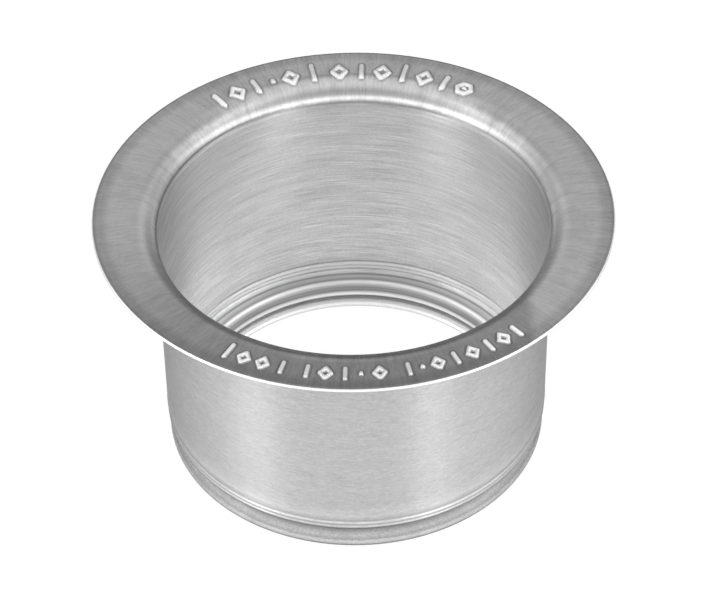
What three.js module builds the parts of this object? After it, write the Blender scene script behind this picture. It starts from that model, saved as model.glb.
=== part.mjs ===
// Sink flange of a kitchen food-waste disposer: one deep-drawn stainless steel sheet, a single piece.
// A flat rim rests on the sink, a cylinder wall drops through the drain hole, a snap-ring groove and a
// retaining lip hold the mounting ring below the sink, and a bottom ledge seals on the disposer's gasket.
// Millimetres, +Z up. The flange stands on its bottom ledge, with the origin at the centre of that face.
import * as THREE from "three";

const HEIGHT = 62; // rim top above the bottom ledge's underside
const SHEET = 0.8; // thickness of the steel all over
const RIM_RADIUS = 57.15; // a rim of 4 1/2 in
const WALL_RADIUS = 43.65; // outside of the wall, which passes an 89 mm drain hole
const FILLET_RADIUS = 6.35; // from the rim's top face down to the inside of the wall
const GROOVE_TOP = 5.85; // height of the groove's upper side at the wall
const GROOVE_FALL = 0.45; // the groove's upper side drops by this much towards the groove floor
const GROOVE_FLOOR_RADIUS = 38.85; // outside of the sheet at the bottom of the groove
const LIP_TOP = 3.1; // height of the lip's flat upper face, which the snap ring bears on
const LIP_RADIUS = 43.76; // widest point of the lip, just over the wall's radius
const LEDGE_RADIUS = 42.7; // where the lip's lead-in taper would meet the flat underside as a sharp corner
const OPENING_RADIUS = 36.75; // the opening at the bottom

const SHOULDER_BEND = 1.0; // bend radii of the sheet's middle line
const GROOVE_BEND = 1.1;
const LIP_BEND = 0.7;
const LIP_CORNER_OVERHANG = 0.62; // the lip's sharp middle-line corner, beyond the rounded one's widest point
const LEDGE_BEND = 0.7;
const RIM_EDGE_CHAMFER = 0.25; // broken corner on the rim's top outer edge
const OPENING_EDGE_CHAMFER = 0.2; // broken corners at the opening

const SEGMENTS_AROUND = 80;
const BEND_TOLERANCE = 0.06; // how far a bend's facets may cut inside its true arc

const half = SHEET / 2;

// The sheet's middle line, from the rim's outer edge down to the opening. A corner is rounded by its bend.
const MIDDLE_LINE = [
  { r: RIM_RADIUS, z: HEIGHT - half },
  { r: WALL_RADIUS - half, z: HEIGHT - half, bend: FILLET_RADIUS - half },
  { r: WALL_RADIUS - half, z: GROOVE_TOP + half, bend: SHOULDER_BEND },
  { r: GROOVE_FLOOR_RADIUS - half, z: GROOVE_TOP - GROOVE_FALL + half, bend: GROOVE_BEND },
  { r: GROOVE_FLOOR_RADIUS - half, z: LIP_TOP - half, bend: GROOVE_BEND },
  { r: LIP_RADIUS - half + LIP_CORNER_OVERHANG, z: LIP_TOP - half, bend: LIP_BEND },
  { r: LEDGE_RADIUS - half, z: half, bend: LEDGE_BEND },
  { r: OPENING_RADIUS, z: half },
];

// One face of the sheet: the middle line moved sideways by offset, to the right of the way it runs when
// offset is positive. Every bend becomes an arc about the same centre.
function sheetFace(corners, offset) {
  const points = corners.map(({ r, z }) => new THREE.Vector2(r, z));
  const face = [];
  const sideways = (from, to) => {
    const along = to.clone().sub(from).normalize();
    return new THREE.Vector2(along.y, -along.x).multiplyScalar(offset);
  };
  face.push(points[0].clone().add(sideways(points[0], points[1])));
  for (let i = 1; i < points.length - 1; i++) {
    const arrive = points[i].clone().sub(points[i - 1]).normalize();
    const leave = points[i + 1].clone().sub(points[i]).normalize();
    const turn = Math.atan2(arrive.cross(leave), arrive.dot(leave));
    const side = Math.sign(turn);
    const { bend } = corners[i];
    const start = points[i].clone().addScaledVector(arrive, -bend * Math.tan(Math.abs(turn) / 2));
    const centre = start.clone().add(new THREE.Vector2(-arrive.y, arrive.x).multiplyScalar(side * bend));
    const radius = bend + side * offset;
    const spoke = start.clone().sub(centre).normalize();
    const steps = Math.ceil(Math.abs(turn) / (2 * Math.acos(1 - BEND_TOLERANCE / radius)));
    for (let k = 0; k <= steps; k++) {
      const turned = spoke.clone().rotateAround(new THREE.Vector2(), (turn * k) / steps);
      face.push(centre.clone().addScaledVector(turned, radius));
    }
  }
  const last = points.length - 1;
  face.push(points[last].clone().add(sideways(points[last - 1], points[last])));
  return face;
}

// Breaks a square corner of the profile: the corner becomes two points, each the chamfer's size away.
function chamfer(before, corner, after, size) {
  const back = before.clone().sub(corner).setLength(size).add(corner);
  const on = after.clone().sub(corner).setLength(size).add(corner);
  return [back, on];
}

function flangeGeometry() {
  const inner = sheetFace(MIDDLE_LINE, half); // the rim's top face, and the inside of the cup
  const outer = sheetFace(MIDDLE_LINE, -half); // the rim's underside, and the outside of the wall
  const top = inner.shift();
  const openingInner = inner.pop();
  const openingOuter = outer.pop();
  const profile = [
    ...chamfer(outer[0], top, inner[0], RIM_EDGE_CHAMFER),
    ...inner,
    ...chamfer(inner[inner.length - 1], openingInner, openingOuter, OPENING_EDGE_CHAMFER),
    ...chamfer(openingInner, openingOuter, outer[outer.length - 1], OPENING_EDGE_CHAMFER),
    ...outer.reverse(),
  ];
  profile.push(profile[0].clone());
  const geometry = new THREE.LatheGeometry(profile, SEGMENTS_AROUND);
  return geometry.rotateX(Math.PI / 2);
}

const brushedSteel = new THREE.MeshStandardMaterial({
  color: 0xbcbcbc,
  roughness: 0.35,
  metalness: 1,
});

const flange = new THREE.Mesh(flangeGeometry(), brushedSteel);
flange.name = "sink_flange";

const part = new THREE.Group();
part.add(flange);

export default part;
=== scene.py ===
"""Looks of a kitchen disposer's sink flange: a sheet of brushed stainless steel, drawn into a deep cup."""

import math

import bpy
import numpy as np
from mathutils import Matrix, Vector


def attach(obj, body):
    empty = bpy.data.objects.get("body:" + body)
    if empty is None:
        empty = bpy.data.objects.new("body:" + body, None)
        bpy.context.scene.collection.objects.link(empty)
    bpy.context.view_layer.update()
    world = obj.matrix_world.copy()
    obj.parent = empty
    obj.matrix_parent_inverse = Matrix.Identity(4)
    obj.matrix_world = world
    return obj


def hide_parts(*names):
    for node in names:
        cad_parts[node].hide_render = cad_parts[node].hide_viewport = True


MM = 0.001

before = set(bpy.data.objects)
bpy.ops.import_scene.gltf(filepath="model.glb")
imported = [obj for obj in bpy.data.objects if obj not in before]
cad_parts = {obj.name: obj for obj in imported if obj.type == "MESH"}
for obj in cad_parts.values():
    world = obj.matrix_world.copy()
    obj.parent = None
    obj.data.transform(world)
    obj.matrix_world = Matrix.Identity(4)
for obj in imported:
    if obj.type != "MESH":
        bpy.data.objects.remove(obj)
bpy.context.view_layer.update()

# ---------------------------------------------------------------- sizes of the sheet, millimetres
HEIGHT = 62.0
SHEET = 0.8
HALF = SHEET / 2
RIM_RADIUS = 57.15
WALL_RADIUS = 43.65
FILLET_RADIUS = 6.35
OPENING_RADIUS = 36.75

# The groove for the snap ring: its roof falls inwards, and the upper part of its floor leans outwards.
GROOVE_TOP = 5.85
GROOVE_FALL = 0.45
GROOVE_FLOOR_RADIUS = 38.85
FLOOR_LEAN = 0.8
FLOOR_LEAN_END = 4.15

# The lip under the groove: its top slopes down and outwards.
LIP_TOP = 3.1
LIP_INNER_DROP = 0.3
LIP_OUTER_DROP = 0.75
LIP_RADIUS = 43.76
LIP_CORNER_REACH = 0.25
LEDGE_RADIUS = 42.7

# The bead round the opening.
BEAD_FOOT_RADIUS = 40.0
BEAD_RADIUS = 38.6
BEAD_RISE = 0.5

# How the sheet's middle bends at each corner.
SHOULDER_BEND = 1.0
GROOVE_BEND = 0.95
FLOOR_BEND = 0.75
LIP_BEND = 0.7
LEDGE_BEND = 0.7
BEAD_BEND = 1.4

# The upper face rolls down towards both cut edges, and the edges' corners are rounded.
RIM_ROLL_START = 56.1
RIM_ROLL_DROP = 0.22
OPENING_ROLL_START = 37.6
OPENING_ROLL_DROP = 0.12
RIM_EDGE_ROUND = 0.24
OPENING_EDGE_ROUND = 0.2

# Shallow rings rolled into the wall just above the groove: height, half width, how far the wall moves in.
# They stand out more on the inner face, by INNER_RING_SHARE, and fade out towards the shoulder.
WALL_RINGS = [(9.15, 0.3, -0.07), (8.5, 0.3, 0.16), (7.4, 0.28, 0.14)]
INNER_RING_SHARE = 1.3
RINGS_TOP = 10.4
RINGS_FADE = (6.3, 7.2)
RINGS_LEAST_RADIUS = 42.0

# The middle of the sheet, from the rim's edge down the wall and in to the opening: radius, height, bend.
MIDDLE_LINE = [
    (RIM_RADIUS, HEIGHT - HALF, 0.0),
    (WALL_RADIUS - HALF, HEIGHT - HALF, FILLET_RADIUS - HALF),
    (WALL_RADIUS - HALF, RINGS_TOP, 0.0),
    (WALL_RADIUS - HALF, GROOVE_TOP + HALF, SHOULDER_BEND),
    (GROOVE_FLOOR_RADIUS - HALF + FLOOR_LEAN, GROOVE_TOP - GROOVE_FALL + HALF, GROOVE_BEND),
    (GROOVE_FLOOR_RADIUS - HALF, FLOOR_LEAN_END, FLOOR_BEND),
    (GROOVE_FLOOR_RADIUS - HALF, LIP_TOP - HALF - LIP_INNER_DROP, FLOOR_BEND),
    (LIP_RADIUS - HALF + LIP_CORNER_REACH, LIP_TOP - HALF - LIP_OUTER_DROP, LIP_BEND),
    (LEDGE_RADIUS - HALF, HALF, LEDGE_BEND),
    (BEAD_FOOT_RADIUS, HALF, BEAD_BEND),
    (BEAD_RADIUS, HALF + BEAD_RISE, BEAD_BEND),
    (OPENING_RADIUS, HALF, 0.0),
]

# ---------------------------------------------------------------- how finely the mesh is divided
# Steps along the profile are in millimetres and steps round the axis in degrees. No straight run ends with
# less than LEAST_STEP_SHARE of a step. FINE_ARCS hold the marks, with columns FINE_SHARE times closer.
BEND_STEP = 0.16
FILLET_STEP = 0.25
WIDE_BEND = 2.0
FEWEST_BEND_STEPS = 4
EDGE_CORNER_STEPS = 5
MARKED_RIM_STEP = 0.2
RIM_EDGE_STEP = 0.25
WALL_STEP = 6.0
RINGS_STEP = 0.12
LEDGE_STEP = 0.7
OPENING_STEP = 0.35
RIM_LEVEL = HEIGHT - 1.0
LEDGE_LEVEL = 6.0
LEAST_STEP_SHARE = 0.4
COLUMN_STEP = 2.5
FINE_SHARE = 10
FINE_ARCS = ((-33.5, 43.5), (143.5, 221.0))

# ---------------------------------------------------------------- ornament on the rim, degrees and mm
# A shallow line, the moat, is pressed round each raised mark. A mark's reaches are shares of its half
# size, apart from DOT_REACH, which is in millimetres.
EMBOSS_HEIGHT = 0.42
EMBOSS_ROUNDING = 0.5
MOAT_DEPTH = 0.05
MOAT_WIDTH = 0.4
MOAT_SOFTNESS = 0.8
MOAT_CLEAR = 0.3
TALL_REACH = 1.55
PIP_REACH = 0.12
HEXAGON_REACH = 1.15
DOT_REACH = 0.05
BACK_MID_RADIUS = 49.6
BACK_MARK = (4.3, 5.3)
FRONT_MID_RADIUS = 52.4
FRONT_MARK = (3.3, 4.1)
BACK_STROKE = 0.62
FRONT_STROKE = 0.52
MARK_BAND = (45.6, 56.0)
MARK_LEVEL = HEIGHT - 3.5
BACK_ROW = [
    (217.6, "bar"),
    (212.0, "diamond"),
    (206.3, "bar"),
    (201.4, "pip"),
    (196.4, "diamond"),
    (190.2, "tall"),
    (183.2, "diamond"),
    (177.2, "bar"),
    (171.6, "diamond"),
    (165.8, "tall"),
    (160.0, "diamond"),
    (154.2, "bar"),
    (148.4, "hexagon"),
]
FRONT_ROW = [
    (-30.2, "tall"),
    (-26.0, "diamond"),
    (-21.4, "diamond"),
    (-16.8, "bar"),
    (-11.0, "bar"),
    (-6.8, "diamond"),
    (-2.4, "bar"),
    (1.2, "pip"),
    (5.4, "diamond"),
    (12.0, "bar"),
    (15.2, "pip"),
    (18.8, "diamond"),
    (23.2, "bar"),
    (27.4, "diamond"),
    (31.8, "bar"),
    (35.8, "diamond"),
    (39.8, "bar"),
]

# ---------------------------------------------------------------- painted light and shade along the profile
# Painted highlights (+) and painted shade (-), in lines along the profile: radius, height, half width,
# strength.
BACK_FILLET_LINES = [
    (43.9, 59.1, 0.5, -0.1),
    (43.4, 58.25, 0.75, -0.5),
    (43.2, 57.75, 0.2, -0.15),
    (44.9, 60.3, 1.3, -0.22),
]
QUARTER_FILLET_LINES = [
    (45.5, 60.8, 1.6, -0.4),
    (43.35, 58.15, 0.22, -0.5),
]
SIDE_FILLET_LINES = [
    (45.9, 61.1, 1.0, -0.12),
    (43.9, 59.2, 1.0, 0.4),
    (43.35, 58.15, 0.22, -0.5),
]
INNER_LINES = [
    (42.95, 56.8, 0.25, -0.15),
    (42.8, 8.0, 1.3, 0.18),
    (42.85, 9.45, 0.22, -0.48),
    (42.8, 8.75, 0.24, 0.4),
    (42.8, 8.25, 0.16, -0.1),
    (42.75, 7.68, 0.28, 0.4),
    (42.8, 7.1, 0.2, -0.1),
    (42.2, 6.55, 0.5, 0.35),
    (41.45, 6.45, 0.3, -0.4),
    (40.8, 6.38, 0.4, 0.15),
    (39.85, 6.28, 0.26, -0.45),
    (38.95, 5.85, 0.42, 0.4),
    (38.4, 5.0, 0.45, -0.45),
    (38.1, 4.15, 0.4, -0.65),
    (38.05, 3.4, 0.5, 0.4),
    (38.1, 2.8, 0.4, 0.4),
]
OUTER_LINES = [
    (43.65, 10.5, 0.4, 0.15),
    (43.6, 9.25, 0.35, -0.2),
    (43.55, 8.4, 0.28, 0.3),
    (43.6, 7.8, 0.22, -0.22),
    (43.55, 7.25, 0.24, 0.18),
    (43.5, 6.5, 0.36, -0.8),
    (40.0, 2.66, 0.4, -0.4),
    (41.7, 2.53, 0.7, 0.45),
    (42.8, 2.3, 0.3, -0.4),
    (43.2, 1.9, 0.3, -0.15),
    (43.25, 1.1, 0.35, -0.45),
    (42.7, 0.3, 0.7, -0.8),
]
EDGE_LINES = [(OPENING_RADIUS, 0.05, 0.28, -0.75)]

# Where round the fillet its painted lines change over. -1 is the front, 0 the sides, 1 the back.
FRONT_TO_SIDE = (-0.5, -0.1)
SIDE_TO_QUARTER = (0.05, 0.3)
QUARTER_TO_BACK = (0.72, 0.88)

# The parts of the closed profile, and the finishes. The finishes' limits are heights and one radius.
# Over the two heights of ACROSS_RIM the brushing changes from round the wall to across the rim.
UPPER, UNDER, CUT = 0, 1, 2
BRUSHED, RAW, SHEARED_AND_HIGHLIGHT, ROLLED = 0, 1, 2, 3
ROLLED_TOP = 6.5
RAW_TOP_INSIDE = 2.0
RAW_TOP_OUTSIDE = 5.6
HIGHLIGHT_RADIUS = BEAD_RADIUS + 0.2
ACROSS_RIM = (HEIGHT - 4.2, HEIGHT - 3.7)


# ---------------------------------------------------------------- the sheet's shape
def ramp(values, low, high):
    """0 at low, 1 at high, and straight between them."""
    return np.clip((values - low) / (high - low), 0, 1)


def bend_path(corners):
    """Points and unit normals of the middle line. A normal points up from the rim and in from the wall."""
    points, normals = [], []
    last = len(corners) - 1
    at = [np.array(corner[:2]) for corner in corners]
    for i in range(last + 1):
        before = at[i] - at[i - 1] if i else at[1] - at[0]
        after = at[i + 1] - at[i] if i < last else before
        before = before / np.linalg.norm(before)
        after = after / np.linalg.norm(after)
        turn = math.atan2(before[0] * after[1] - before[1] * after[0], float(before @ after))
        bend = corners[i][2]
        start = at[i] - before * bend * math.tan(abs(turn) / 2)
        side = 1.0 if turn > 0 else -1.0
        arm = -side * bend * np.array([-before[1], before[0]])
        step = FILLET_STEP if bend > WIDE_BEND else BEND_STEP
        steps = max(FEWEST_BEND_STEPS, math.ceil(abs(turn) * bend / step)) if bend else 0
        for k in range(steps + 1):
            t = turn * k / max(steps, 1)
            c, s = math.cos(t), math.sin(t)
            spun = np.array([c * arm[0] - s * arm[1], s * arm[0] + c * arm[1]])
            run = np.array([c * before[0] - s * before[1], s * before[0] + c * before[1]])
            points.append(start - arm + spun)
            normals.append(np.array([run[1], -run[0]]))
    return np.array(points), np.array(normals)


def row_spacing(r, z):
    """How far apart the rows of the mesh stand on a straight run of the middle line."""
    if z > RIM_LEVEL:
        return MARKED_RIM_STEP if r < MARK_BAND[1] else RIM_EDGE_STEP
    if z > RINGS_TOP + BEND_STEP / 2:
        return WALL_STEP
    if z > LEDGE_LEVEL:
        return RINGS_STEP
    return OPENING_STEP if r < OPENING_ROLL_START else LEDGE_STEP


def with_rows(points, normals):
    """Adds rows on the long straight runs, as close together as row_spacing() asks."""
    rows = [(points[0], normals[0])]
    for a, b, normal in zip(points[:-1], points[1:], normals[1:]):
        length = np.linalg.norm(b - a)
        gone = 0.0
        while length > 2 * BEND_STEP:
            step = row_spacing(*(a + (b - a) * gone / length))
            gone += step
            if gone > length - LEAST_STEP_SHARE * step:
                break
            rows.append((a + (b - a) * gone / length, normal))
        rows.append((b, normal))
    return np.array([row[0] for row in rows]), np.array([row[1] for row in rows])


def ring_shift(points):
    """How far the wall moves in at each point, for the shallow rolled rings."""
    z = points[:, 1]
    shift = np.zeros_like(z)
    for ring_height, half, depth in WALL_RINGS:
        shift += depth * np.exp(-(((z - ring_height) / half) ** 2))
    return np.where(points[:, 0] > RINGS_LEAST_RADIUS, shift * ramp(z, *RINGS_FADE), 0.0)


def columns():
    """Azimuths of the mesh's columns in degrees, and which of them every row has. The rest carry marks."""
    (a, b), (c, d) = FINE_ARCS
    az, every_row = [], []
    for low, high, share in ((a, b, FINE_SHARE), (b, c, 1), (c, d, FINE_SHARE), (d, a + 360.0, 1)):
        count = math.ceil((high - low) / COLUMN_STEP) * share
        az.extend(low + (high - low) * k / count for k in range(count))
        every_row.extend(k % share == 0 for k in range(count))
    return np.array(az), np.array(every_row)


def cut_edge(first, second, outward, rounding):
    """The profile of a cut edge from one face's last point to the other's, with both corners rounded."""
    across = (second - first) / np.linalg.norm(second - first)
    points = []
    for corner, sense in ((first, 1.0), (second, -1.0)):
        centre = corner + (across * sense - outward) * rounding
        for k in range(EDGE_CORNER_STEPS + 1):
            share = k / EDGE_CORNER_STEPS
            t = math.radians(90.0 * (share if sense > 0 else 1 - share))
            arm = outward * math.sin(t) - across * sense * math.cos(t)
            points.append(centre + arm * rounding)
    return np.array(points)


def segment_distance(x, y, ax, ay, bx, by):
    """How far each place is from a straight stroke."""
    dx, dy = bx - ax, by - ay
    t = np.clip(((x - ax) * dx + (y - ay) * dy) / (dx * dx + dy * dy), 0, 1)
    return np.hypot(x - ax - t * dx, y - ay - t * dy)


def mark_strokes(kind, width, tall):
    """A mark's strokes as (x0, y0, x1, y1) in millimetres about its middle, y outwards."""
    w, h = width / 2, tall / 2
    if kind == "diamond":
        corners = [(0, h), (w, 0), (0, -h), (-w, 0)]
        return [(*corners[k], *corners[(k + 1) % 4]) for k in range(4)]
    if kind == "bar":
        return [(0, -h, 0, h)]
    if kind == "tall":
        return [(0, -h, 0, h * TALL_REACH)]
    if kind == "pip":
        return [(0, -PIP_REACH * h, 0, PIP_REACH * h)]
    turns = [math.radians(60 * k) for k in range(6)]
    corners = [(HEXAGON_REACH * w * math.cos(t), HEXAGON_REACH * w * math.sin(t)) for t in turns]
    ring = [(*corners[k], *corners[(k + 1) % 6]) for k in range(6)]
    return [*ring, (0, -DOT_REACH, 0, DOT_REACH)]


def emboss(az, at_radius):
    """Height of the raised marks over the rim in mm, and the pressed line round them from 0 to 1."""
    over = np.zeros((len(at_radius), len(az)))
    pressed = np.zeros_like(over)
    rows = [(mark, BACK_MID_RADIUS, BACK_MARK, BACK_STROKE, 1) for mark in BACK_ROW]
    rows += [(mark, FRONT_MID_RADIUS, FRONT_MARK, FRONT_STROKE, -1) for mark in FRONT_ROW]
    for (middle, kind), mid_radius, (width, tall), stroke, up in rows:
        turned = (az - middle + 180.0) % 360.0 - 180.0
        near = np.abs(np.radians(turned)) * mid_radius < width
        x = np.radians(turned[near])[None, :] * at_radius[:, None]
        y = np.broadcast_to((at_radius[:, None] - mid_radius) * up, x.shape)
        apart = np.full(x.shape, np.inf)
        for line in mark_strokes(kind, width - 2 * stroke, tall - 2 * stroke):
            apart = np.minimum(apart, segment_distance(x, y, *line))
        dome = np.clip(1 - (apart / stroke) ** 2, 0, 1) ** EMBOSS_ROUNDING
        over[:, near] = np.maximum(over[:, near], EMBOSS_HEIGHT * dome)
        from_line = np.abs(apart - stroke - MOAT_WIDTH / 2) / (MOAT_SOFTNESS * MOAT_WIDTH)
        pressed[:, near] = np.maximum(pressed[:, near], np.clip(1 - from_line, 0, 1))
    pressed *= over < MOAT_CLEAR * EMBOSS_HEIGHT
    return over, pressed


def roll_down(radii, start, end, drop):
    """How far the upper face rolls down at each radius: not before start, and by drop at the end."""
    return drop * np.maximum((radii - start) / (end - start), 0) ** 2


def sheet_profile():
    """The closed profile: upper and inner face, opening's edge, outer and under face, rim's edge."""
    middle, normal = with_rows(*bend_path(MIDDLE_LINE))
    upper = middle + normal * HALF
    upper[:, 0] -= ring_shift(middle) * INNER_RING_SHARE
    under = middle - normal * HALF
    under[:, 0] -= ring_shift(middle)
    down = roll_down(upper[:, 0], RIM_ROLL_START, RIM_RADIUS, RIM_ROLL_DROP)
    upper[:, 1] -= np.where(upper[:, 1] > HEIGHT / 2, down, 0.0)
    down = roll_down(upper[:, 0], OPENING_ROLL_START, OPENING_RADIUS, OPENING_ROLL_DROP)
    upper[:, 1] -= np.where(upper[:, 1] < 2 * SHEET, down, 0.0)
    opening = cut_edge(upper[-1], under[-1], np.array([-1.0, 0.0]), OPENING_EDGE_ROUND)
    rim = cut_edge(under[0], upper[0], np.array([1.0, 0.0]), RIM_EDGE_ROUND)
    loop = [
        (upper[1:-1], normal[1:-1], UPPER),
        (opening, np.zeros_like(opening), CUT),
        (under[1:-1][::-1], normal[1:-1][::-1], UNDER),
        (rim, np.zeros_like(rim), CUT),
    ]
    places = np.concatenate([part[0] for part in loop])
    normals = np.concatenate([part[1] for part in loop])
    parts = np.concatenate([np.full(len(part[0]), part[2]) for part in loop])
    return places, normals, parts


# The rows of the mesh go round the profile and its columns round the axis. Marked rows have every column.
profile, profile_normals, kinds = sheet_profile()
azimuths, shared = columns()
marked = (kinds == UPPER) & (profile[:, 1] > MARK_LEVEL)
marked &= (profile[:, 0] > MARK_BAND[0]) & (profile[:, 0] < MARK_BAND[1])
lift = np.zeros((len(profile), len(azimuths)))
moat = np.zeros_like(lift)
lift[marked], moat[marked] = emboss(azimuths, profile[marked, 0])

raised_by = lift - MOAT_DEPTH * moat
radius = profile[:, 0:1] + raised_by * profile_normals[:, 0:1]
level = profile[:, 1:2] + raised_by * profile_normals[:, 1:2]
turned = np.radians(azimuths)[None, :]
points = np.stack([radius * np.sin(turned), -radius * np.cos(turned), level], -1) * MM
held = marked[:, None] | shared[None, :]
number = np.full(held.shape, -1)
number[held] = np.arange(held.sum())

finish = np.full(len(profile), BRUSHED)
finish[(kinds == UPPER) & (profile[:, 1] < ROLLED_TOP)] = ROLLED
on_ledge = (kinds == UPPER) & (profile[:, 1] < RAW_TOP_INSIDE)
finish[on_ledge] = RAW
# The bead's inner slope takes the cut edges' bright finish: a painted highlight.
finish[on_ledge & (profile[:, 0] < HIGHLIGHT_RADIUS)] = SHEARED_AND_HIGHLIGHT
finish[(kinds == UNDER) & (profile[:, 1] < RAW_TOP_OUTSIDE)] = RAW
finish[kinds == CUT] = SHEARED_AND_HIGHLIGHT


def sheet_faces():
    """Faces between neighbouring rows, and their finishes. Beside marked rows they have more corners."""
    made, made_finishes = [], []
    rows, wide = held.shape
    ends = [*np.flatnonzero(shared), wide]
    for i in range(rows):
        upper_row = [*number[i].tolist(), number[i, 0]]
        lower_row = [*number[(i + 1) % rows].tolist(), number[(i + 1) % rows, 0]]
        for a, b in zip(ends[:-1], ends[1:]):
            here = [k for k in upper_row[a : b + 1] if k >= 0]
            there = [k for k in lower_row[a : b + 1] if k >= 0]
            if len(here) == len(there):
                new = [(here[k], here[k + 1], there[k + 1], there[k]) for k in range(len(here) - 1)]
            else:
                new = [(*here, *reversed(there))]
            made.extend(new)
            made_finishes.extend([finish[i]] * len(new))
    return made, made_finishes


faces, finishes = sheet_faces()
mesh = bpy.data.meshes.new("flange_sheet")
mesh.from_pydata(points[held].tolist(), [], faces)
mesh.polygons.foreach_set("use_smooth", np.ones(len(faces), bool))
mesh.polygons.foreach_set("material_index", np.array(finishes, np.int32))
mesh.update(calc_edges=True)


def point_values(name, values):
    """Stores a number for each point of the mesh, from values for each row or for rows and columns."""
    layer = mesh.attributes.new(name, "FLOAT", "POINT")
    layer.data.foreach_set("value", np.broadcast_to(values, held.shape)[held].astype(np.float32))


def painted_shading_lines():
    """How much painted highlight (+) and painted shade (-) each point gets, as a share of its tone."""
    towards_back = -np.cos(np.radians(azimuths))
    at_back = ramp(towards_back, *QUARTER_TO_BACK)
    past_side = ramp(towards_back, *SIDE_TO_QUARTER)
    at_side = ramp(towards_back, *FRONT_TO_SIDE) * (1 - past_side)
    all_round = np.ones(len(azimuths))
    total = np.zeros(held.shape)
    for kind, lines, where in (
        (UPPER, BACK_FILLET_LINES, at_back),
        (UPPER, QUARTER_FILLET_LINES, past_side * (1 - at_back)),
        (UPPER, SIDE_FILLET_LINES, at_side),
        (UPPER, INNER_LINES, all_round),
        (UNDER, OUTER_LINES, all_round),
        (CUT, EDGE_LINES, all_round),
    ):
        for r, z, half, strength in lines:
            apart = np.hypot(profile[:, 0] - r, profile[:, 1] - z) / half
            down_profile = np.where(kinds == kind, strength * np.exp(-(apart**2)), 0.0)
            total += down_profile[:, None] * where[None, :]
    return total


# For the materials: how far a point is along the profile in millimetres, how high it stands on a mark and
# how deep in the line pressed round it (0 to 1), the painted highlight and shade lines, whether the sheet
# is brushed across the rim (1) or round the wall (0), and whether the point is on the outer face.
steps = np.linalg.norm(np.diff(profile, axis=0, append=profile[:1]), axis=1)
point_values("profile_mm", np.concatenate([[0.0], np.cumsum(steps)[:-1]])[:, None])
point_values("raised", lift / EMBOSS_HEIGHT)
point_values("moat", moat)
# Painted highlights and painted shade, in lines along the profile.
point_values("painted_shading", painted_shading_lines())
point_values("across", ramp(profile[:, 1], *ACROSS_RIM)[:, None])
point_values("outside", (kinds == UNDER).astype(float)[:, None])

flange = bpy.data.objects.new("flange_sheet", mesh)
bpy.context.scene.collection.objects.link(flange)

# ---------------------------------------------------------------- materials, metres
# Noise seldom leaves the span from NOISE_LOW to NOISE_HIGH. The scratch radii are in millimetres.
NOISE_LOW, NOISE_HIGH = 0.3, 0.7
# The inner wall, outer wall and rim are one brushed steel, and the ledge and the lip outside one raw
# sheet: their different tones are painted light and shade.
INNER_TONE, OUTER_TONE, RIM_TONE, MARK_HIGHLIGHT_TONE = 0.68, 0.53, 0.44, 0.95
RAW_INSIDE_TONE, RAW_OUTSIDE_TONE, ROLLED_TONE = 0.97, 0.52, 0.72
LIGHTEST, RAW_LIGHTEST = 0.98, 0.97
WALL_SCRATCH_RADIUS, RIM_SCRATCH_RADIUS = 43.0, 50.0
SPARSE_LIGHT = (0.6, NOISE_HIGH, 0.0, 0.26)
SPARSE_DARK = (0.4, NOISE_LOW, 0.0, 0.22)
MARK_EDGE = (0.3, 0.7)
MOAT_PAINTED_SHADE = 0.45
GRAIN_ON_MARKS = 0.2
GRAIN_TO_ROUGHNESS = 0.25
WALL_ROUGHNESS, RIM_ROUGHNESS, MARK_ROUGHNESS = 0.46, 0.32, 0.8

# The rim's front is painted darker, a painted dark reflection, up to a straight line on the right, and
# this fades out on the left. The limits are x on the right, y towards the back, and on the left the
# bearing from the front in radians.
DARK_REFLECTION_RIGHT = (0.0355, 0.0385)
DARK_REFLECTION_LEFT = (-0.8, -1.4)
DARK_REFLECTION_BACK = (-0.012, 0.0)
DARK_REFLECTION_TONE, CLEAR_OF_REFLECTION_TONE = 0.73, 1.08

# Painted light and shade, where a tone changes gradually: from one place to another, and what it is
# multiplied by at each.
# Painted shade on the rim: lighter inwards, darker outwards, and darker still on its rounded outer edge.
RIM_BELT = (0.0530, 0.0555, 1.14, 0.88)
RIM_EDGE = (0.0560, 0.0568, 1.0, 0.7)
# Painted light on the inner wall, lighter low down and at the sides, and painted shade on the outer wall's
# sides.
INNER_BY_HEIGHT = (0.058, 0.018, 0.8, 1.07)
INNER_BY_SIDE = (0.028, 0.038, 1.0, 1.2)
OUTER_BY_SIDE = (0.027, 0.043, 1.0, 0.84)
# Painted shade on the lip from outside: darker low on its nose and at its sides.
LIP_BY_HEIGHT = (0.0003, 0.0022, 0.7, 1.0)
LIP_BY_SIDE = (0.026, 0.043, 1.0, 0.7)


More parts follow.
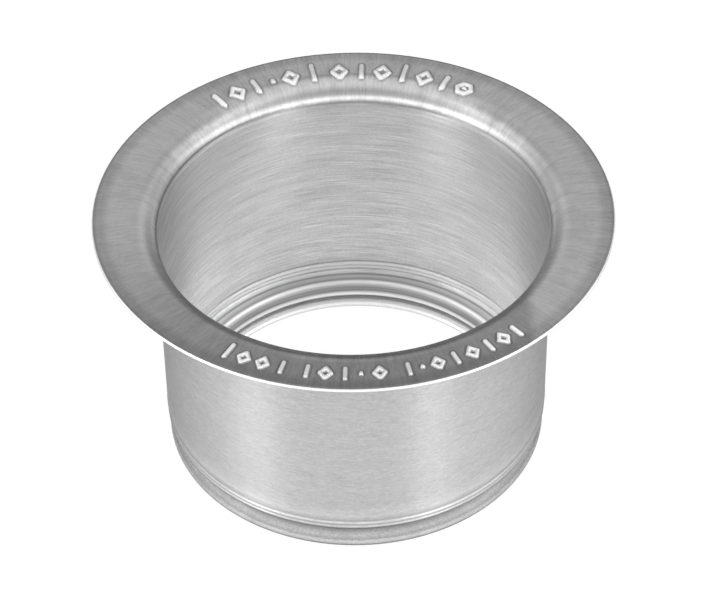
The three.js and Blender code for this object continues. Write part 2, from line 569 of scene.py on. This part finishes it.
class Nodes:
    """Short hand for a node tree: a call makes a node, links or sets its inputs, and returns an output."""

    def __init__(self, tree):
        self.tree = tree
        tree.nodes.clear()

    def make(self, kind, inputs=None, output=0, **settings):
        made = self.tree.nodes.new(kind)
        for key, value in settings.items():
            setattr(made, key, value)
        for key, value in (inputs or {}).items():
            self.feed(made.inputs[key], value)
        return made.outputs[output] if made.outputs else made

    def feed(self, socket, value):
        if isinstance(value, bpy.types.NodeSocket):
            self.tree.links.new(value, socket)
        else:
            socket.default_value = value

    def math(self, operation, a, b=0.0):
        return self.make("ShaderNodeMath", {0: a, 1: b}, operation=operation)

    def add(self, a, b):
        return self.math("ADD", a, b)

    def times(self, a, b):
        return self.math("MULTIPLY", a, b)

    def vector(self, operation, *inputs, output=0):
        return self.make("ShaderNodeVectorMath", dict(enumerate(inputs)), output, operation=operation)

    def join(self, x, y, z):
        return self.make("ShaderNodeCombineXYZ", {0: x, 1: y, 2: z})

    def split(self, vector):
        """The x, y and z outputs of a vector."""
        return self.make("ShaderNodeSeparateXYZ", {0: vector}).node.outputs[:3]

    def value(self, name):
        return self.make("ShaderNodeAttribute", output="Fac", attribute_name=name)

    def span(self, value, low, high, to_low=0.0, to_high=1.0, smooth=False):
        kind = "SMOOTHSTEP" if smooth else "LINEAR"
        inputs = {0: value, 1: low, 2: high, 3: to_low, 4: to_high}
        return self.make("ShaderNodeMapRange", inputs, interpolation_type=kind)

    def swing(self, noise, to_low, to_high):
        """Noise spread from its usual lowest and highest values to these."""
        return self.span(noise, NOISE_LOW, NOISE_HIGH, to_low, to_high)

    def noise(self, vector, scale, detail, roughness):
        inputs = {"Vector": vector, "Scale": scale, "Detail": detail, "Roughness": roughness}
        return self.make("ShaderNodeTexNoise", inputs)

    def mix(self, factor, a, b):
        return self.make("ShaderNodeMix", {0: factor, 2: a, 3: b}, data_type="FLOAT")


class Steel(Nodes):
    """A metal's material, with its shader, the place on the object and the way round the axis."""

    def __init__(self, name, roughness, anisotropic):
        self.material = bpy.data.materials.new(name)
        self.material.use_nodes = True
        super().__init__(self.material.node_tree)
        self.shader = self.tree.nodes.new("ShaderNodeBsdfPrincipled")
        self.make("ShaderNodeOutputMaterial", {"Surface": self.shader.outputs[0]})
        self.set("Metallic", 1.0)
        self.set("Roughness", roughness)
        self.set("Anisotropic", anisotropic)
        self.set("Specular Tint", (0.5, 0.5, 0.5, 1.0))
        self.x, self.y, self.z = self.split(self.make("ShaderNodeTexCoord", output="Object"))
        self.sideways = self.math("ABSOLUTE", self.x)
        self.around = self.vector("NORMALIZE", self.join(self.times(self.y, -1.0), self.x, 0.0))

    def set(self, name, value):
        self.feed(self.shader.inputs[name], value)

    def set_tone(self, tone, lightest=LIGHTEST):
        tone = self.math("MINIMUM", tone, lightest)
        self.set("Base Color", self.join(tone, tone, tone))

    def down(self):
        """The way down the profile, square to the way round."""
        normal = self.make("ShaderNodeNewGeometry", output="Normal")
        return self.vector("CROSS_PRODUCT", normal, self.around)

    def with_painted_lines(self, tone):
        """A tone with the painted highlight and shade lines on it."""
        return self.times(tone, self.add(1.0, self.value("painted_shading")))

    def specks(self, scale, detail, roughness):
        return self.noise(self.join(self.x, self.y, self.z), scale, detail, roughness)

    def scratches(self, radius_mm, per_mm_round, per_mm_along, detail, roughness):
        """Noise drawn out into scratches: so many per mm round the axis, so many along the profile."""
        spun = self.vector("SCALE", self.around)
        spun.node.inputs["Scale"].default_value = radius_mm * per_mm_round
        along = self.times(self.value("profile_mm"), per_mm_along)
        return self.noise(self.vector("ADD", spun, self.join(0.0, 0.0, along)), 1.0, detail, roughness)


def brushed_grain(steel, across):
    """How much lighter or darker brushing left the steel. The two walls and the rim differ."""
    wall_fine = steel.scratches(WALL_SCRATCH_RADIUS, 0.07, 3.4, detail=4.0, roughness=0.72)
    wall_broad = steel.scratches(WALL_SCRATCH_RADIUS, 0.05, 0.5, detail=2.0, roughness=0.5)
    sparse = steel.scratches(WALL_SCRATCH_RADIUS, 0.13, 6.0, detail=2.0, roughness=0.5)
    light = steel.span(sparse, *SPARSE_LIGHT)
    dark = steel.span(sparse, *SPARSE_DARK)
    inner = steel.add(steel.swing(wall_fine, -0.17, 0.17), steel.swing(wall_broad, -0.05, 0.05))
    inner = steel.add(inner, steel.math("SUBTRACT", light, dark))
    outer_fine = steel.scratches(WALL_SCRATCH_RADIUS, 0.45, 2.6, detail=3.0, roughness=0.7)
    outer = steel.add(steel.swing(outer_fine, -0.12, 0.12), steel.swing(wall_broad, -0.03, 0.03))
    rim_fine = steel.scratches(RIM_SCRATCH_RADIUS, 2.4, 0.25, detail=3.0, roughness=0.65)
    rim_broad = steel.scratches(RIM_SCRATCH_RADIUS, 0.35, 0.08, detail=3.0, roughness=0.6)
    rim = steel.add(steel.swing(rim_fine, -0.13, 0.13), steel.swing(rim_broad, -0.1, 0.1))
    walls = steel.mix(steel.value("outside"), inner, outer)
    dust = steel.specks(1800.0, detail=2.0, roughness=0.6)
    return steel.add(steel.mix(across, walls, rim), steel.swing(dust, -0.06, 0.06))


def brushed_rim_tone(steel):
    """The rim's tone, with painted light and shade: a painted dark reflection at the front, lighter
    inwards of a belt and darker outwards of it, and a painted dark line of shade along the rounded outer
    edge.
    """
    # A painted dark reflection on the rim's front, clear of it to the right, to the left and behind.
    bearing = steel.math("ARCTAN2", steel.x, steel.times(steel.y, -1.0))
    right = steel.span(steel.x, *DARK_REFLECTION_RIGHT, smooth=True)
    left = steel.span(bearing, *DARK_REFLECTION_LEFT)
    behind = steel.span(steel.y, *DARK_REFLECTION_BACK)
    clear_of_reflection = steel.math("MAXIMUM", steel.math("MAXIMUM", right, left), behind)
    dark_reflection = steel.mix(clear_of_reflection, DARK_REFLECTION_TONE, CLEAR_OF_REFLECTION_TONE)
    from_axis = steel.vector("LENGTH", steel.join(steel.x, steel.y, 0.0), output=1)
    # Painted shade: darker towards the rim's outer edge, and darkest on its rounded edge.
    belt = steel.span(from_axis, *RIM_BELT, smooth=True)
    edge = steel.span(from_axis, *RIM_EDGE, smooth=True)
    return steel.times(steel.times(RIM_TONE, dark_reflection), steel.times(belt, edge))


def brushed_wall_tone(steel):
    """Both walls' tones, with painted light and shade: the inner one lighter low down and at the sides,
    the outer one darker at the sides.
    """
    inner = steel.times(INNER_TONE, steel.span(steel.z, *INNER_BY_HEIGHT))
    inner = steel.times(inner, steel.span(steel.sideways, *INNER_BY_SIDE, smooth=True))
    outer = steel.times(OUTER_TONE, steel.span(steel.sideways, *OUTER_BY_SIDE))
    return steel.mix(steel.value("outside"), inner, outer)


def brushed_steel():
    """The rim, scratched across, with dull raised marks whose light tone is a painted highlight, and both
    walls, scratched round.
    """
    steel = Steel("brushed_stainless", roughness=0.4, anisotropic=0.85)
    across = steel.value("across")
    tangents = {0: across, 4: steel.down(), 5: steel.around}
    steel.set("Tangent", steel.make("ShaderNodeMix", tangents, output=1, data_type="VECTOR"))
    grain = brushed_grain(steel, across)
    raised = steel.span(steel.value("raised"), *MARK_EDGE, smooth=True)
    plain = steel.mix(across, brushed_wall_tone(steel), brushed_rim_tone(steel))
    # Painted shade in the line pressed round each mark, on top of its real shallow dent.
    shaded = steel.math("SUBTRACT", 1.0, steel.times(steel.value("moat"), MOAT_PAINTED_SHADE))
    # The marks take a light tone, a painted highlight, over the plain tone with its painted highlight and
    # shade lines.
    tone = steel.mix(raised, steel.with_painted_lines(steel.times(plain, shaded)), MARK_HIGHLIGHT_TONE)
    strength = steel.mix(raised, 1.0, GRAIN_ON_MARKS)
    steel.set_tone(steel.times(tone, steel.add(1.0, steel.times(grain, strength))))
    rough = steel.mix(across, WALL_ROUGHNESS, RIM_ROUGHNESS)
    rough = steel.math("SUBTRACT", rough, steel.times(grain, GRAIN_TO_ROUGHNESS))
    steel.set("Roughness", steel.mix(raised, rough, MARK_ROUGHNESS))
    return steel.material


def raw_sheet():
    """The ledge, and the lip from outside: dull unbrushed sheet, with painted shade low on the lip's nose
    and at its sides.
    """
    steel = Steel("raw_sheet", roughness=0.55, anisotropic=0.0)
    steel.set("Metallic", 0.25)
    steel.set("Specular IOR Level", 0.1)
    speck = steel.specks(2600.0, detail=3.0, roughness=0.7)
    cloud = steel.specks(260.0, detail=2.0, roughness=0.5)
    grain = steel.times(steel.swing(speck, 0.8, 1.2), steel.swing(cloud, 0.94, 1.06))
    outer = steel.times(RAW_OUTSIDE_TONE, steel.span(steel.z, *LIP_BY_HEIGHT))
    outer = steel.times(outer, steel.span(steel.sideways, *LIP_BY_SIDE))
    tone = steel.with_painted_lines(steel.mix(steel.value("outside"), RAW_INSIDE_TONE, outer))
    steel.set_tone(steel.times(tone, grain), RAW_LIGHTEST)
    steel.set("Roughness", steel.swing(speck, 0.6, 0.45))
    return steel.material


def sheared_edge_and_highlight():
    """The cut edges and the bead's inner slope: bright, fine grained steel. On the cut edges the bright
    tone is partly their burnished grain and partly a painted highlight, and on the bead's slope it is a
    painted highlight.
    """
    steel = Steel("sheared_edge_and_highlight", roughness=0.32, anisotropic=0.0)
    speck = steel.specks(2200.0, detail=3.0, roughness=0.7)
    steel.set_tone(steel.with_painted_lines(steel.swing(speck, 0.9, 1.06)))
    return steel.material


def rolled_steel():
    """The inside of the groove and the lip, rolled smoother than the brushed wall above."""
    steel = Steel("rolled_stainless", roughness=0.3, anisotropic=0.4)
    steel.set("Tangent", steel.down())
    lines = steel.scratches(WALL_SCRATCH_RADIUS, 0.06, 4.0, detail=3.0, roughness=0.6)
    steel.set_tone(steel.times(steel.with_painted_lines(ROLLED_TONE), steel.span(lines, 0.25, 0.75, 0.88, 1.12)))
    steel.set("Roughness", steel.swing(lines, 0.5, 0.4))
    return steel.material


for finish_material in (brushed_steel(), raw_sheet(), sheared_edge_and_highlight(), rolled_steel()):
    mesh.materials.append(finish_material)
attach(flange, "root")
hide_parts("sink_flange")

# ---------------------------------------------------------------- floor, metres
FLOOR_REACH = 3.0
FLOOR_GAP = 0.0001
PAPER_TONE = 0.03
PAPER_GLOW = 0.98
PAPER_ROUGHNESS = 0.8
floor_mesh = bpy.data.meshes.new("floor")
floor_corners = [(FLOOR_REACH * x, FLOOR_REACH * y, 0) for x, y in ((-1, -1), (1, -1), (1, 1), (-1, 1))]
floor_mesh.from_pydata(floor_corners, [], [(0, 1, 2, 3)])
floor = bpy.data.objects.new("floor", floor_mesh)
floor.location = (0, 0, -FLOOR_GAP)
bpy.context.scene.collection.objects.link(floor)
paper = bpy.data.materials.new("white_paper")
paper.use_nodes = True
paper_inputs = paper.node_tree.nodes["Principled BSDF"].inputs
paper_inputs["Base Color"].default_value = (PAPER_TONE, PAPER_TONE, PAPER_TONE, 1)
paper_inputs["Roughness"].default_value = PAPER_ROUGHNESS
paper_inputs["Specular IOR Level"].default_value = 0.0
paper_inputs["Emission Color"].default_value = (1, 1, 1, 1)
paper_inputs["Emission Strength"].default_value = PAPER_GLOW
floor_mesh.materials.append(paper)

# ---------------------------------------------------------------- studio round the object
# Brightness in front of and behind the object, at low, middle and high elevations, and what the sides add.
FRONT_LOW, FRONT_MIDDLE, FRONT_HIGH = 0.8, 2.3, 0.66
BACK_LOW, BACK_MIDDLE, BACK_HIGH = 0.3, 0.75, 0.45
SIDE_EXTRA, CEILING = 2.6, 1.0
SIDE_NARROWNESS = 4.0
FRONT_TO_BACK = (-0.2, 0.6)
JUST_OVER_ONE = 1.0001

world = bpy.data.worlds.new("studio")
bpy.context.scene.world = world
world.use_nodes = True
sky = Nodes(world.node_tree)
_, sky_y, sky_z = sky.split(sky.make("ShaderNodeTexCoord", output="Generated"))


def rise(low, high):
    """0 below one elevation in degrees, 1 above the other."""
    return sky.span(sky_z, math.sin(math.radians(low)), math.sin(math.radians(high)), smooth=True)


level_part = sky.math("SQRT", sky.math("SUBTRACT", JUST_OVER_ONE, sky.math("POWER", sky_z, 2.0)))
backwards = sky.math("DIVIDE", sky_y, level_part)
back = sky.mix(rise(36, 44), sky.mix(rise(12, 20), BACK_LOW, BACK_MIDDLE), BACK_HIGH)
front = sky.mix(rise(25, 33), sky.mix(rise(7, 15), FRONT_LOW, FRONT_MIDDLE), FRONT_HIGH)
ring = sky.mix(sky.span(backwards, *FRONT_TO_BACK, smooth=True), front, back)
side_on = sky.math("SUBTRACT", 1.0, sky.math("POWER", backwards, 2.0))
side_on = sky.math("POWER", side_on, SIDE_NARROWNESS)
sides = sky.times(sky.times(side_on, rise(26, 42)), SIDE_EXTRA)
sky_tone = sky.mix(rise(50, 66), sky.add(ring, sides), CEILING)
backdrop = sky.make("ShaderNodeBackground", {0: (1, 1, 1, 1), 1: sky_tone})
sky.make("ShaderNodeOutputWorld", {0: backdrop})


def soft_light(name, azimuth, elevation, distance, width, height, radiance):
    """A soft box aimed at the object. Azimuth 0 stands on the camera's side, 90 to the right of it."""
    data = bpy.data.lights.new(name, "AREA")
    data.shape = "RECTANGLE"
    data.size = width
    data.size_y = height
    data.energy = radiance * math.pi * width * height
    light = bpy.data.objects.new(name, data)
    bpy.context.scene.collection.objects.link(light)
    a, e = math.radians(azimuth), math.radians(elevation)
    away = Vector((math.sin(a) * math.cos(e), -math.cos(a) * math.cos(e), math.sin(e)))
    light.location = Vector((0, 0, HEIGHT * MM / 2)) + away * distance
    light.rotation_euler = away.to_track_quat("Z", "Y").to_euler()


soft_light("front_left", -51, 12, distance=0.9, width=0.3, height=0.36, radiance=4.6)
soft_light("front_right", 38, 12, distance=0.9, width=0.28, height=0.36, radiance=4.6)
soft_light("front_middle", -6, 16, distance=1.0, width=0.7, height=0.3, radiance=0.9)

# ---------------------------------------------------------------- camera, metres, degrees, lens in mm
CAMERA_DISTANCE = 0.5938127
CAMERA_ELEVATION = 40.0529
AIM_HEIGHT = 0.0352853
AIM_SIDE = 0.0000769
CAMERA_ROLL = -0.898848
LENS = 137.6475
SENSOR_WIDTH = 36.0
NEAREST, FARTHEST = 0.05, 20.0
elevation = math.radians(CAMERA_ELEVATION)
camera_data = bpy.data.cameras.new("camera")
camera_data.sensor_width = SENSOR_WIDTH
camera_data.lens = LENS
camera_data.clip_start = NEAREST
camera_data.clip_end = FARTHEST
camera = bpy.data.objects.new("camera", camera_data)
bpy.context.scene.collection.objects.link(camera)
camera.location = (
    0.0,
    -CAMERA_DISTANCE * math.cos(elevation),
    HEIGHT * MM + CAMERA_DISTANCE * math.sin(elevation),
)
look = Vector((AIM_SIDE, 0.0, AIM_HEIGHT)) - camera.location
facing = look.to_track_quat("-Z", "Y").to_matrix().to_4x4()
camera.rotation_euler = (facing @ Matrix.Rotation(math.radians(CAMERA_ROLL), 4, "Z")).to_euler()
bpy.context.scene.camera = camera

view = bpy.context.scene.view_settings
view.view_transform = "Standard"
view.look = "None"
